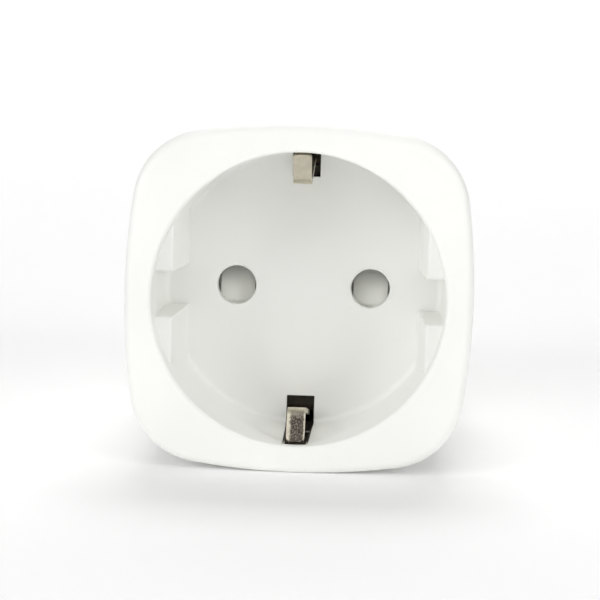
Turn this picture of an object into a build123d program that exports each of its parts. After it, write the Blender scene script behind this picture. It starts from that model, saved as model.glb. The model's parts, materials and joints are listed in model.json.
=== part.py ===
from build123d import *
from math import sqrt
import os

os.makedirs("parts", exist_ok=True)

# A mini plug-in power meter: a socket on the front, its plug on the back, and the metering
# relay, boards and contacts between them. Millimetres. The socket faces -Y, the plug's pins
# point +Y, +Z is up, and the origin is the middle of the plug's end face.

# Lengths along Y
face_y = -63.0
well_depth = 17.5
floor_thickness = 2.0
shoulder_y = -17.0
floor_y = face_y + well_depth
seam_y = floor_y + floor_thickness
pin_length = 19.0

# Outline: four flat side arcs joined by four corner arcs
front_half = 23.54
side_radius = 91.7
corner_radius = 10.3
rear_inset = 1.5
face_edge_radius = 1.2
shoulder_edge_radius = 1.2
seam_chamfer = 0.25

# Walls, and how far joined and cut shapes run past each other
overlap = 1.0
rear_wall = 1.8
shoulder_wall = 2.0
front_wall = 2.5
face_plate = 2.0
lip_gap = 0.1
lip_width = 1.0
lip_length = 1.5
lip_notch = (7.6, 10.0)

# Socket well
rim_radius = 19.8
floor_radius = 19.6
well_root_radius = 0.8
rim_edge_radius = 0.45
well_outer_radius = 21.0
land_depth = 3.0
land_flat_top = 17.2
land_flat_floor = 16.25
land_groove_top = 6.2
land_groove_floor = 5.8
land_edge_radius = 0.4
land_root_radius = 20.3

# Pins, and the holes that take them
pin_offset = 9.5
pin_radius = 2.4
pin_tip_radius = 1.9
pin_hole_radius = 2.75
pin_hole_edge = 0.3
pin_collar_radius = 2.7
slip_gap = 0.05
pin_flange_radius = 3.5
pin_flange_length = 2.5
pin_tail_radius = 1.2
pin_tail_end_y = -23.2

# Earth clip windows, clips and their dark linings
window_half_width = 2.0
window_half_width_front = 1.75
window_inner_z = 15.6
window_outer_z = 21.7
window_front_depth = 1.5
clip_width = 2.5
clip_thickness = 0.7
clip_root = (-40.55, 18.9)
clip_bulge = (-58.4, 15.5)
clip_tip = (-60.95, 19.6)
clip_bend_radius = 1.6
clip_corner_radius = 0.8
lining_wall = 0.3
lining_back = 0.4
lining_gap = 0.02
lining_front_z = 19.85
lining_plate = 1.0
lining_plate_half_width = 3.5
lining_plate_inner_z = 15.7
lining_plate_outer_z = 20.8
lining_slot_half_width = 1.75
lining_slot = (17.2, 19.7)

# Plug nose
nose_radius = 18.9
nose_base_radius = 19.2
nose_base_length = 2.7
nose_flat_base = 16.8
nose_flat_end = 15.9
nose_rib_half_width = 2.6
nose_edge_radius = 0.6
nose_bore_radius = 14.0
nose_end_wall = 2.5
french_earth_z = 10.0
french_hole_radius = 2.6
earth_groove_half_width = 2.7
earth_groove_z = (15.45, 21.0)
earth_groove_start_y = -16.9
earth_slit_half_width = 2.5
earth_slit_top_z = 16.35
earth_slit_end_y = -16.8

# Screws that hold the two housings together
boss_xz = 15.6
boss_radius = 2.1
boss_end_y = -30.0
pilot_radius = 1.25
pilot_depth = 10.0
tube_radius = 3.1
recess_radius = 2.4
head_seat_y = -25.5
screw_hole_radius = 1.35
screw_head_radius = 2.2
screw_head_height = 1.6
screw_shank_radius = 1.2
screw_tip_y = -38.0
screw_cross = (2.6, 0.6)
screw_cross_depth = 0.9

# Safety shutter and its spring
shutter_half_width = 13.5
shutter_plate_y = (-41.0, -39.3)
shutter_top_z = 9.5
shutter_bottom_z = -5.4
shutter_window = (5.8, 5.6)
shutter_window_z = 5.7
shutter_window_corner = 0.5
ramp_width = 4.9
ramp_front_y = -43.3
ramp_low_z = -3.4
ramp_shelf_z = -2.4
ramp_high_z = 2.9
spring_y = -41.3
spring_seat_z = -14.6
spring_coil_radius = 1.2
spring_wire_radius = 0.2
spring_pitch = 1.45
peg_radius = 0.8
rail_inner_x = 14.1
rail_width = 1.0
rail_middle = rail_inner_x + rail_width / 2
rail_end_y = -39.1
rail_z = (-11.0, 10.0)
stop_x = (6.0, 9.0)
stop_z = (9.6, 10.6)
stop_end_y = -39.6
ledge_half_width = 2.6
ledge_thickness = 0.9
ledge_end_y = -39.5
ledge_peg_length = 1.4
shutter_peg_length = 1.2
spring_block_half_width = 2.2
spring_block_front_y = -42.9
spring_block_top_z = -2.4

# Contact carrier and tulip contacts
carrier_half_width = 13.2
carrier_half_height = 6.0
carrier_y = (-39.0, -25.5)
carrier_front_wall = 1.0
carrier_bore_radius = 3.6
carrier_mouth_radius = 3.0
carrier_corner_radius = 1.0
carrier_pocket = (9.0, 9.6)
ear_half_width = 15.6
ear_half_height = 5.0
ear_thickness = 1.5
stake_z = 3.5
stake_radius = 0.6
stake_head_radius = 1.0
stake_head_height = 0.7
tulip_inner_radius = 2.35
tulip_outer_radius = 2.95
tulip_y = (-37.4, -26.0)
tulip_base = 0.8
tulip_slot = 0.5
tulip_slot_end_y = -28.5
tulip_mouth = 0.35
contact_tail_z = 2.0
contact_tail = (2.4, 0.6)

# Small screws for the pin retainer and the main board
retainer_radius = 13.4
retainer_y = (-7.0, -nose_end_wall - pin_flange_length)
retainer_screw_places = ((-4.0, -10.0), (4.0, -10.0))
board_screw_places = ((-17.6, 6.0), (-17.6, -6.0))
post_radius = 1.8
small_pilot_radius = 0.85
small_pilot_depth = 3.0
small_hole_radius = 1.1
small_screw_radius = 0.8
small_screw_length = 4.0
small_head_radius = 1.8
small_head_height = 1.2
small_cross = (2.2, 0.5)
small_cross_depth = 0.7

# Boards
main_board_y = (-22.6, -21.0)
board_gap = 0.45
board_corner_xz = 18.6
board_corner_size = 8.5
strap_notch_z = 19.2
control_board_x = (16.2, 17.2)
control_board_y = (-40.0, -23.0)
control_board_half_height = 11.8
tail_end_y = -20.6
tail_gap = 0.1

# Button, switch and status light, all on one side wall
side_opening_x = (18.0, 24.0)
button_y = -31.5
button_radius = 3.5
button_hole_radius = 3.75
button_flange_radius = 4.5
button_x = (19.5, 20.3, 23.0)
button_post_radius = 1.0
button_post_x = 18.9
switch_size = 6.0
switch_height = 1.2
plunger_radius = 1.2
plunger_gap = 0.1
plunger_x = (18.05, 18.8)
lens_z = 7.0
lens_radius = 1.0
lens_gap = 0.05
lens_x = (18.0, 22.2)
lens_flange_radius = 1.6
lens_flange_x = (19.3, 20.0)
lens_edge_radius = 0.2
button_edge_radius = 0.5

# Earth straps from the plug's side contacts to the clips
strap_width = 4.6
strap_thickness = 0.8
strap_bend_radius = 0.9
strap_corner_radius = 0.8
strap_path = ((-0.5, 15.9), (-20.3, 15.9), (-23.0, 19.6), (-39.7, 19.6), (-39.7, 17.2))
bridge_y = (-20.1, -19.5)
bridge_half_width = 2.0

# Contact behind the third hole of the plug, for a wall outlet's earth pin
french_contact_radius = 2.9
french_contact_y = (-17.0, -5.0)
french_contact_base = 0.6
french_slot_length = 7.0
french_stem_radius = 1.5

# Relay
relay_x = (-12.2, 6.2)
relay_z = (7.0, 17.2)
relay_base_y = (-24.4, -22.9)
relay_front_y = -38.9
relay_wall = 0.6
coil_x = -3.0
coil_z = 12.1
pivot_x = -8.3
pivot_y = -35.95
armature_open_angle = 4.0
armature_closed_y = (-36.95, -36.25)
armature_gap = 0.15
contact_leaf_thickness = 0.2
contact_x = 3.6
contact_radius = 1.1
bobbin_y = (-35.4, -25.5)
core_radius = 1.8
pole_radius = 3.0
pole_face_y = -36.2
relay_plate = 0.8

coil_radius = 3.9
bobbin_wall = 0.7
bobbin_flange = 8.2
bobbin_flange_thickness = 0.6
yoke_half_height = 3.6
armature_half_height = 3.3
relay_leg_x = (4.9, pivot_x)
relay_leg_slot = (0.8, 3.4)
relay_leg_half_height = 1.5
relay_leg_thickness = 0.6
contact_half_height = 1.6
moving_contact_height = 0.6
fixed_contact_y = -36.3
fixed_contact_height = 0.5

# Transformer
transformer_x = (-12.0, -3.0)
transformer_y = (-34.0, -24.5)
transformer_z = -12.7
transformer_half_height = 2.2
transformer_rim = 1.5
transformer_window = 1.9
transformer_window_offset = 2.25
winding_half_width = 2.9
winding_half_height = 4.2
winding_inner_half_width = 1.5
winding_inner_half_height = 2.4
transformer_middle = (transformer_x[0] + transformer_x[1]) / 2
winding_y = (-32.1, -26.4)

# Parts that stand on the main board
electrolytic_places = ((1.6, -10.4), (8.4, -10.4))
electrolytic_radius = 3.1
electrolytic_length = 11.0
electrolytic_edge_radius = 0.5
safety_capacitor_x = (6.9, 11.9)
safety_capacitor_front_y = -34.0
safety_capacitor_z = (7.0, 17.0)
safety_capacitor_corner = 0.6
varistor_place = (7.2, -27.4)
varistor_z = (-17.6, -14.6)
varistor_radius = 4.1
varistor_edge_radius = 0.7
varistor_leg_places = ((4.7, -16.1), (9.7, -16.1))
varistor_leg_radius = 0.35
varistor_leg_length = 4.5
resistor_x = -17.6
resistor_y = (-32.0, -24.0)
resistor_radius = 1.5
resistor_lead_radius = 0.3
shunt_x = -14.6
shunt_half_width = 0.7
shunt_half_span = 4.0
shunt_front_y = -25.4
shunt_thickness = 0.6
shunt_bend_radius = 1.0

# Parts on the back of the main board
chip_x = (3.2, 9.2)
chip_back_y = -19.5
chip_z = (-10.0, -6.1)
chip_leg_reach = 1.0
chip_leg_width = 0.4
chip_leg_pitch = 1.3
rectifier_x = (-8.6, -3.9)
rectifier_leg_x = (-7.9, -5.3)
rectifier_leg_width = 0.7
rectifier_z = (-10.0, -6.0)
solder_gap = 0.1
leg_thickness = 0.3
chip_resistor_size = (1.6, 0.8)
chip_resistor_height = 0.5
chip_resistor_places = ((-5.5, 6.0), (5.5, 6.0))
chip_resistor_pitch = (3.0, 2.0)

# Parts on the control board
header_depth = 2.0
header_y = (-24.6, -22.6)
header_half_height = 6.3
header_pin_x = (14.9, 15.5)
header_pin_pitch = 2.54
header_pin_length = 4.0
shield_outer_x = 19.2
shield_wall = 0.2
shield_y = (-38.5, -26.5)
shield_z = (-11.2, -4.6)
switch_floor = 0.25
led_x = 17.9
led_half_length = 0.8
led_half_width = 0.4


def at(y):
    """The plane across the housing at y, seen from the front: local x is +X and local y is +Z."""
    return Plane.XZ.offset(-y)


def taper(y):
    """How far the housing's outline has moved in at y."""
    return rear_inset * (y - face_y) / (shoulder_y - face_y)


def outline(inset):
    """The housing's outline on the front face, moved in by inset."""
    centre_gap = side_radius - corner_radius
    drop = side_radius - front_half
    corner = (sqrt(2 * centre_gap**2 - drop**2) - drop) / 2
    join_x = (side_radius - inset) * corner / centre_gap
    join_y = (side_radius - inset) * (corner + drop) / centre_gap - drop
    middle = front_half - inset
    diagonal = corner + (corner_radius - inset) / sqrt(2)
    with BuildSketch() as shape:
        with BuildLine():
            for quarter in range(4):
                turn = -90 * quarter
                left = Vector(-join_x, join_y).rotate(Axis.Z, turn)
                top = Vector(0, middle).rotate(Axis.Z, turn)
                right = Vector(join_x, join_y).rotate(Axis.Z, turn)
                bend = Vector(diagonal, diagonal).rotate(Axis.Z, turn)
                side = Vector(join_y, join_x).rotate(Axis.Z, turn)
                ThreePointArc(left, top, right)
                ThreePointArc(right, bend, side)
        make_face()
    return shape.sketch


def segment(flat, groove_half, radius):
    """A quarter of the space between a flat at x = flat and a circle, above a central groove."""
    high = sqrt(radius**2 - flat**2)
    far = sqrt(radius**2 - groove_half**2)
    middle = (Vector(flat, high) + Vector(far, groove_half)).normalized() * radius
    with BuildSketch() as shape:
        with BuildLine():
            Line((flat, groove_half), (flat, high))
            ThreePointArc((flat, high), middle, (far, groove_half))
            Line((far, groove_half), (flat, groove_half))
        make_face()
    return shape.sketch


def small_screws(places, seat_y):
    """Cross-head screws whose heads rest on a surface that faces -Y at seat_y."""
    with BuildPart() as screws:
        with BuildSketch(at(seat_y)):
            with Locations(*places):
                Circle(small_head_radius)
        extrude(amount=small_head_height)
        chamfer(screws.faces().group_by(Axis.Y)[0].edges(), small_head_height / 4)
        with BuildSketch(at(seat_y)):
            with Locations(*places):
                Circle(small_screw_radius)
        extrude(amount=-small_screw_length)
        with BuildSketch(at(seat_y - small_head_height)):
            with Locations(*places):
                Rectangle(*small_cross)
                Rectangle(*reversed(small_cross))
        extrude(amount=-small_cross_depth, mode=Mode.SUBTRACT)
    return screws.part


def block(x, y, z, mode=Mode.ADD):
    """A box between two values of each of x, y and z."""
    centre = ((x[0] + x[1]) / 2, (y[0] + y[1]) / 2, (z[0] + z[1]) / 2)
    with Locations(centre):
        return Box(x[1] - x[0], y[1] - y[0], z[1] - z[0], mode=mode)


def window_slot(inset, z):
    """The upper and the lower clip window's space between two heights, moved in at the sides."""
    with BuildPart() as slot:
        for y, half_width in (
            (seam_y, window_half_width),
            (face_y + window_front_depth + min(inset, lining_gap), window_half_width_front),
        ):
            with BuildSketch(at(y)):
                with Locations((0, (z[0] + z[1]) / 2)):
                    Rectangle(2 * (half_width - inset), z[1] - z[0])
        loft()
    return slot.part, slot.part.mirror(Plane.XY)


# --- Guide lands: the keys on both sides of the well, one quarter each ---
with BuildPart() as guide_land:
    with BuildSketch(at(face_y + land_depth)):
        add(segment(land_flat_top, land_groove_top / 2, land_root_radius))
    with BuildSketch(at(floor_y)):
        add(segment(land_flat_floor, land_groove_floor / 2, land_root_radius))
    loft()
    land_top_edges = guide_land.faces().sort_by(Axis.Y)[0].edges().filter_by(GeomType.LINE)
    land_corner_edge = guide_land.edges().group_by(Axis.Z)[0].sort_by(Axis.X)[0]
    fillet([*land_top_edges, land_corner_edge], land_edge_radius)

# --- Front cover: face, socket well and its floor in one moulding ---
with BuildPart() as front_cover:
    with BuildSketch(at(seam_y)):
        add(outline(taper(seam_y)))
    with BuildSketch(at(face_y)):
        add(outline(0))
    loft()
    fillet(front_cover.faces().sort_by(Axis.Y)[0].edges(), face_edge_radius)
    chamfer(front_cover.faces().sort_by(Axis.Y)[-1].edges(), seam_chamfer)
    # corner pockets behind the face
    with BuildSketch(at(seam_y)):
        add(outline(taper(seam_y) + front_wall))
        Circle(well_outer_radius, mode=Mode.SUBTRACT)
    extrude(amount=seam_y - face_y - face_plate, mode=Mode.SUBTRACT)
    # the well, and its rim
    with BuildSketch(at(face_y)):
        Circle(rim_radius)
    with BuildSketch(at(floor_y)):
        Circle(floor_radius)
    loft(mode=Mode.SUBTRACT)
    fillet(front_cover.edges().filter_by(GeomType.CIRCLE).filter_by(
        lambda edge: abs(edge.radius - floor_radius) < 0.01
    ), well_root_radius)
    face_edges = front_cover.faces().sort_by(Axis.Y)[0].edges()
    fillet(face_edges.filter_by(GeomType.CIRCLE).filter_by(
        lambda edge: abs(edge.radius - rim_radius) < 0.01
    ), rim_edge_radius)
    # guide lands
    for land in (guide_land.part, guide_land.part.mirror(Plane.XY)):
        add(land)
        add(land.mirror(Plane.YZ))
    # pin holes
    with BuildSketch(at(seam_y)):
        with GridLocations(2 * pin_offset, 0, 2, 1):
            Circle(pin_hole_radius)
    extrude(amount=floor_thickness, mode=Mode.SUBTRACT)
    hole_edges = front_cover.edges().filter_by(GeomType.CIRCLE).filter_by(
        lambda edge: abs(edge.radius - pin_hole_radius) < 0.01
        and abs(edge.center().Y - floor_y) < 0.01
    )
    fillet(hole_edges, pin_hole_edge)
    # lip that centres the rear housing
    with BuildSketch(at(seam_y)):
        add(outline(taper(seam_y) + rear_wall + lip_gap))
        add(outline(taper(seam_y) + rear_wall + lip_gap + lip_width), mode=Mode.SUBTRACT)
        with Locations((0, window_outer_z), (0, -window_outer_z)):
            Rectangle(*lip_notch, mode=Mode.SUBTRACT)
    extrude(amount=-lip_length)
    # earth clip windows, through the floor and up the wall
    for window in window_slot(0, (window_inner_z, window_outer_z)):
        add(window, mode=Mode.SUBTRACT)
    # screw bosses
    with BuildSketch(at(boss_end_y)):
        with GridLocations(2 * boss_xz, 2 * boss_xz, 2, 2):
            Circle(boss_radius)
    extrude(amount=boss_end_y - face_y - face_plate / 2)
    with BuildSketch(at(boss_end_y)):
        with GridLocations(2 * boss_xz, 2 * boss_xz, 2, 2):
            Circle(pilot_radius)
    extrude(amount=pilot_depth, mode=Mode.SUBTRACT)
    # rails beside the shutter, its upper stops, and the stakes that hold the carrier
    for side in (-1, 1):
        rail_x = sorted((side * rail_inner_x, side * (rail_inner_x + rail_width)))
        block(rail_x, (seam_y, rail_end_y), rail_z)
        block(sorted((side * stop_x[0], side * stop_x[1])), (seam_y, stop_end_y), stop_z)
    with BuildSketch(at(rail_end_y)):
        with GridLocations(2 * rail_middle, 2 * stake_z, 2, 2):
            Circle(stake_radius)
    extrude(amount=-(carrier_y[0] + ear_thickness - rail_end_y))
    with BuildSketch(at(carrier_y[0] + ear_thickness)):
        with GridLocations(2 * rail_middle, 2 * stake_z, 2, 2):
            Circle(stake_head_radius)
    extrude(amount=-stake_head_height)
    # ledge and peg under the shutter's spring
    block(
        (-ledge_half_width, ledge_half_width),
        (seam_y, ledge_end_y),
        (spring_seat_z - ledge_thickness, spring_seat_z),
    )
    with BuildSketch(Plane.XY.offset(spring_seat_z)):
        with Locations((0, spring_y)):
            Circle(peg_radius)
    extrude(amount=ledge_peg_length)
front_cover.part.label = "front_cover"
export_step(front_cover.part, "parts/front_cover.step")

# --- Rear housing: cup, shoulder and round plug nose ---
with BuildPart() as rear_housing:
    with BuildSketch(at(shoulder_y)):
        add(outline(taper(shoulder_y)))
    with BuildSketch(at(seam_y)):
        add(outline(taper(seam_y)))
    loft()
    fillet(rear_housing.faces().sort_by(Axis.Y)[-1].edges(), shoulder_edge_radius)
    chamfer(rear_housing.faces().sort_by(Axis.Y)[0].edges(), seam_chamfer)
    # nose with keyed flats
    with BuildSketch(at(shoulder_y - overlap)):
        Circle(nose_base_radius)
    extrude(amount=-(nose_base_length + overlap))
    with BuildSketch(at(shoulder_y)):
        Circle(nose_radius)
    extrude(amount=shoulder_y)
    fillet(rear_housing.faces().sort_by(Axis.Y)[-1].edges(), nose_edge_radius)
    for half_turn in (0, 180):
        for flip in (1, -1):
            with BuildSketch(at(shoulder_y + nose_base_length)):
                quarter = segment(nose_flat_base, nose_rib_half_width, nose_base_radius + overlap)
                add((quarter if flip > 0 else quarter.mirror(Plane.XZ)).rotate(Axis.Z, half_turn))
            with BuildSketch(at(0)):
                quarter = segment(nose_flat_end, nose_rib_half_width, nose_base_radius + overlap)
                add((quarter if flip > 0 else quarter.mirror(Plane.XZ)).rotate(Axis.Z, half_turn))
            loft(mode=Mode.SUBTRACT)
    # grooves for the side earth contacts
    for side in (-1, 1):
        block(
            (-earth_groove_half_width, earth_groove_half_width),
            (earth_groove_start_y, overlap),
            sorted((side * earth_groove_z[0], side * earth_groove_z[1])),
            mode=Mode.SUBTRACT,
        )
    # cavity, nose bore and slits for the straps
    shoulder_inside_y = shoulder_y - shoulder_wall
    with BuildSketch(at(shoulder_inside_y)):
        add(outline(taper(shoulder_inside_y) + rear_wall))
    with BuildSketch(at(seam_y)):
        add(outline(taper(seam_y) + rear_wall))
    loft(mode=Mode.SUBTRACT)
    with BuildSketch(at(-nose_end_wall)):
        Circle(nose_bore_radius)
    extrude(amount=overlap - nose_end_wall - shoulder_inside_y, mode=Mode.SUBTRACT)
    for side in (-1, 1):
        block(
            (-earth_slit_half_width, earth_slit_half_width),
            (shoulder_inside_y - overlap, earth_slit_end_y),
            sorted((side * earth_groove_z[0], side * earth_slit_top_z)),
            mode=Mode.SUBTRACT,
        )
    # holes in the end wall
    with BuildSketch(at(overlap)):
        with GridLocations(2 * pin_offset, 0, 2, 1):
            Circle(pin_collar_radius + slip_gap)
        with Locations((0, french_earth_z)):
            Circle(french_hole_radius)
    extrude(amount=nose_end_wall + 2 * overlap, mode=Mode.SUBTRACT)
    # screw tubes with their head recesses
    with BuildSketch(at(shoulder_inside_y)):
        with GridLocations(2 * boss_xz, 2 * boss_xz, 2, 2):
            Circle(tube_radius)
        add(outline(taper(shoulder_inside_y) + rear_wall / 2), mode=Mode.INTERSECT)
    extrude(amount=shoulder_inside_y - boss_end_y)
    with BuildSketch(at(shoulder_y + overlap)):
        with GridLocations(2 * boss_xz, 2 * boss_xz, 2, 2):
            Circle(recess_radius)
    extrude(amount=shoulder_y + overlap - head_seat_y, mode=Mode.SUBTRACT)
    with BuildSketch(at(shoulder_y)):
        with GridLocations(2 * boss_xz, 2 * boss_xz, 2, 2):
            Circle(screw_hole_radius)
    extrude(amount=shoulder_y - boss_end_y + overlap, mode=Mode.SUBTRACT)
    # posts behind the main board, and behind the pin retainer
    with BuildSketch(at(shoulder_inside_y)):
        with Locations(*board_screw_places):
            Circle(post_radius)
    extrude(amount=shoulder_inside_y - main_board_y[1])
    with BuildSketch(at(-nose_end_wall)):
        with Locations(*retainer_screw_places):
            Circle(post_radius)
    extrude(amount=pin_flange_length)
    with BuildSketch(at(main_board_y[1])):
        with Locations(*board_screw_places):
            Circle(small_pilot_radius)
    extrude(amount=-small_pilot_depth, mode=Mode.SUBTRACT)
    with BuildSketch(at(retainer_y[1])):
        with Locations(*retainer_screw_places):
            Circle(small_pilot_radius)
    extrude(amount=-small_pilot_depth, mode=Mode.SUBTRACT)
    # openings for the button and the status light
    with BuildSketch(Plane.YZ.offset(side_opening_x[0])):
        with Locations((button_y, 0)):
            Circle(button_hole_radius)
        with Locations((button_y, lens_z)):
            Circle(lens_radius + lens_gap)
    extrude(amount=side_opening_x[1] - side_opening_x[0], mode=Mode.SUBTRACT)
rear_housing.part.label = "rear_housing"
export_step(rear_housing.part, "parts/rear_housing.step")

# --- Four housing screws ---
with BuildPart() as housing_screws:
    with BuildSketch(at(head_seat_y + screw_head_height)):
        with GridLocations(2 * boss_xz, 2 * boss_xz, 2, 2):
            Circle(screw_head_radius)
    extrude(amount=screw_head_height)
    chamfer(housing_screws.faces().group_by(Axis.Y)[-1].edges(), screw_head_height / 4)
    with BuildSketch(at(head_seat_y)):
        with GridLocations(2 * boss_xz, 2 * boss_xz, 2, 2):
            Circle(screw_shank_radius)
    extrude(amount=head_seat_y - screw_tip_y)
    chamfer(housing_screws.faces().group_by(Axis.Y)[0].edges(), screw_shank_radius / 2)
    with BuildSketch(at(head_seat_y + screw_head_height)):
        with GridLocations(2 * boss_xz, 2 * boss_xz, 2, 2):
            Rectangle(*screw_cross)
            Rectangle(*reversed(screw_cross))
    extrude(amount=screw_cross_depth, mode=Mode.SUBTRACT)
housing_screws.part.label = "housing_screws"
export_step(housing_screws.part, "parts/housing_screws.step")

# --- Push button ---
with BuildPart() as push_button:
    with BuildSketch(Plane.YZ.offset(button_x[1])):
        with Locations((button_y, 0)):
            Circle(button_radius)
    extrude(amount=button_x[2] - button_x[1])
    fillet(push_button.faces().sort_by(Axis.X)[-1].edges(), button_edge_radius)
    with BuildSketch(Plane.YZ.offset(button_x[0])):
        with Locations((button_y, 0)):
            Circle(button_flange_radius)
    extrude(amount=button_x[1] - button_x[0])
    with BuildSketch(Plane.YZ.offset(button_post_x)):
        with Locations((button_y, 0)):
            Circle(button_post_radius)
    extrude(amount=button_x[0] - button_post_x)
push_button.part.label = "push_button"
export_step(push_button.part, "parts/push_button.step")

# --- Status light guide ---
with BuildPart() as status_lens:
    with BuildSketch(Plane.YZ.offset(lens_x[0])):
        with Locations((button_y, lens_z)):
            Circle(lens_radius)
    extrude(amount=lens_x[1] - lens_x[0])
    fillet(status_lens.faces().sort_by(Axis.X)[-1].edges(), lens_edge_radius)
    with BuildSketch(Plane.YZ.offset(lens_flange_x[0])):
        with Locations((button_y, lens_z)):
            Circle(lens_flange_radius)
    extrude(amount=lens_flange_x[1] - lens_flange_x[0])
status_lens.part.label = "status_lens"
export_step(status_lens.part, "parts/status_lens.step")

# --- Safety shutter: a plate with a ramp behind each pin hole and a window above each ramp ---
with BuildPart() as safety_shutter:
    block((-shutter_half_width, shutter_half_width), shutter_plate_y, (shutter_bottom_z, shutter_top_z))
    with BuildSketch(at(shutter_plate_y[1])):
        with Locations((pin_offset, shutter_window_z), (-pin_offset, shutter_window_z)):
            RectangleRounded(*shutter_window, shutter_window_corner)
    extrude(amount=shutter_plate_y[1] - shutter_plate_y[0], mode=Mode.SUBTRACT)
    for side in (-1, 1):
        with BuildSketch(Plane.YZ.offset(side * pin_offset)):
            with BuildLine():
                Polyline(
                    (shutter_plate_y[0], ramp_high_z),
                    (ramp_front_y, ramp_shelf_z),
                    (ramp_front_y, ramp_low_z),
                    (shutter_plate_y[0], ramp_low_z),
                    close=True,
                )
            make_face()
        extrude(amount=ramp_width / 2, both=True)
    block(
        (-spring_block_half_width, spring_block_half_width),
        (spring_block_front_y, shutter_plate_y[0]),
        (shutter_bottom_z, spring_block_top_z),
    )
    with BuildSketch(Plane.XY.offset(shutter_bottom_z)):
        with Locations((0, spring_y)):
            Circle(peg_radius)
    extrude(amount=-shutter_peg_length)
safety_shutter.part.label = "safety_shutter"
export_step(safety_shutter.part, "parts/safety_shutter.step")

# --- Shutter spring ---
with BuildPart() as shutter_spring:
    with BuildLine() as spring_line:
        Helix(
            spring_pitch,
            shutter_bottom_z - spring_seat_z - 2 * (spring_wire_radius + slip_gap),
            spring_coil_radius,
            center=(0, spring_y, spring_seat_z + spring_wire_radius + slip_gap),
        )
    with BuildSketch(Plane(origin=spring_line.line @ 0, z_dir=spring_line.line % 0)):
        Circle(spring_wire_radius)
    sweep()
shutter_spring.part.label = "shutter_spring"
export_step(shutter_spring.part, "parts/shutter_spring.step")

# --- Contact carrier ---
with BuildPart() as contact_carrier:
    block(
        (-carrier_half_width, carrier_half_width),
        carrier_y,
        (-carrier_half_height, carrier_half_height),
    )
    fillet(contact_carrier.edges().filter_by(Axis.Y), carrier_corner_radius)
    block(
        (-ear_half_width, ear_half_width),
        (carrier_y[0], carrier_y[0] + ear_thickness),
        (-ear_half_height, ear_half_height),
    )
    with BuildSketch(at(carrier_y[1])):
        with GridLocations(2 * pin_offset, 0, 2, 1):
            Circle(carrier_bore_radius)
        Rectangle(*carrier_pocket)
    extrude(amount=carrier_y[1] - carrier_y[0] - carrier_front_wall, mode=Mode.SUBTRACT)
    with BuildSketch(at(carrier_y[1])):
        with GridLocations(2 * pin_offset, 0, 2, 1):
            Circle(carrier_mouth_radius)
        with GridLocations(2 * rail_middle, 2 * stake_z, 2, 2):
            Circle(stake_radius + slip_gap)
    extrude(amount=carrier_y[1] - carrier_y[0], mode=Mode.SUBTRACT)
contact_carrier.part.label = "contact_carrier"
export_step(contact_carrier.part, "parts/contact_carrier.step")

# --- Tulip contact, at x = 0 until it is placed for each pole ---
with BuildPart() as tulip:
    with BuildSketch(at(tulip_y[1])):
        Circle(tulip_outer_radius)
        Circle(tulip_inner_radius, mode=Mode.SUBTRACT)
    extrude(amount=tulip_y[1] - tulip_y[0])
    chamfer(
        tulip.edges().filter_by(GeomType.CIRCLE).filter_by(
            lambda edge: abs(edge.radius - tulip_inner_radius) < 0.01
        ).sort_by(Axis.Y)[0],
        tulip_mouth,
    )
    with BuildSketch(at(tulip_slot_end_y)):
        Rectangle(tulip_slot, 3 * tulip_outer_radius)
        Rectangle(3 * tulip_outer_radius, tulip_slot)
    extrude(amount=tulip_slot_end_y - tulip_y[0] + overlap, mode=Mode.SUBTRACT)
    with BuildSketch(at(tulip_y[1] + tulip_base)):
        Circle(tulip_outer_radius)
    extrude(amount=tulip_base)
    with BuildSketch(at(tail_end_y)):
        with Locations((0, contact_tail_z)):
            Rectangle(*contact_tail)
    extrude(amount=tail_end_y - tulip_y[1] - tulip_base)

with BuildPart() as line_contact:
    with Locations((-pin_offset, 0, 0)):
        add(tulip.part)
line_contact.part.label = "line_contact"
export_step(line_contact.part, "parts/line_contact.step")

with BuildPart() as neutral_contact:
    with Locations((pin_offset, 0, 0)):
        add(tulip.part)
neutral_contact.part.label = "neutral_contact"
export_step(neutral_contact.part, "parts/neutral_contact.step")

# --- Earth clips: bent strips that press on a plug's side contacts ---
with BuildPart() as earth_clip_top:
    with BuildSketch(Plane.YZ):
        with BuildLine():
            FilletPolyline(clip_root, clip_bulge, clip_tip, radius=clip_bend_radius)
        trace(line_width=clip_thickness)
        with Locations(clip_root):
            Circle(clip_thickness / 2)
    extrude(amount=clip_width / 2, both=True)
    tip_edges = earth_clip_top.edges().filter_by(
        lambda edge: abs(edge.length - clip_thickness) < 0.01
        and edge.center().Z > clip_tip[1] - clip_corner_radius
    )
    fillet(tip_edges, clip_corner_radius)
earth_clip_top.part.label = "earth_clip_top"
export_step(earth_clip_top.part, "parts/earth_clip_top.step")

with BuildPart() as earth_clip_bottom:
    add(earth_clip_top.part.mirror(Plane.XY))
earth_clip_bottom.part.label = "earth_clip_bottom"
export_step(earth_clip_bottom.part, "parts/earth_clip_bottom.step")

# --- Dark linings behind the clip windows ---
with BuildPart() as clip_lining_top:
    lining_outer_z = window_outer_z - lining_gap
    add(window_slot(lining_gap, (lining_front_z, lining_outer_z))[0])
    channel_z = (lining_front_z - lining_back, lining_outer_z - lining_back)
    add(window_slot(lining_gap + lining_wall, channel_z)[0], mode=Mode.SUBTRACT)
    block(
        (-lining_plate_half_width, lining_plate_half_width),
        (seam_y, seam_y + lining_plate),
        (lining_plate_inner_z, lining_plate_outer_z),
    )
    block(
        (-lining_slot_half_width, lining_slot_half_width),
        (seam_y, seam_y + lining_plate),
        lining_slot,
        mode=Mode.SUBTRACT,
    )
clip_lining_top.part.label = "clip_lining_top"
export_step(clip_lining_top.part, "parts/clip_lining_top.step")

with BuildPart() as clip_lining_bottom:
    add(clip_lining_top.part.mirror(Plane.XY))
clip_lining_bottom.part.label = "clip_lining_bottom"
export_step(clip_lining_bottom.part, "parts/clip_lining_bottom.step")

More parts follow.
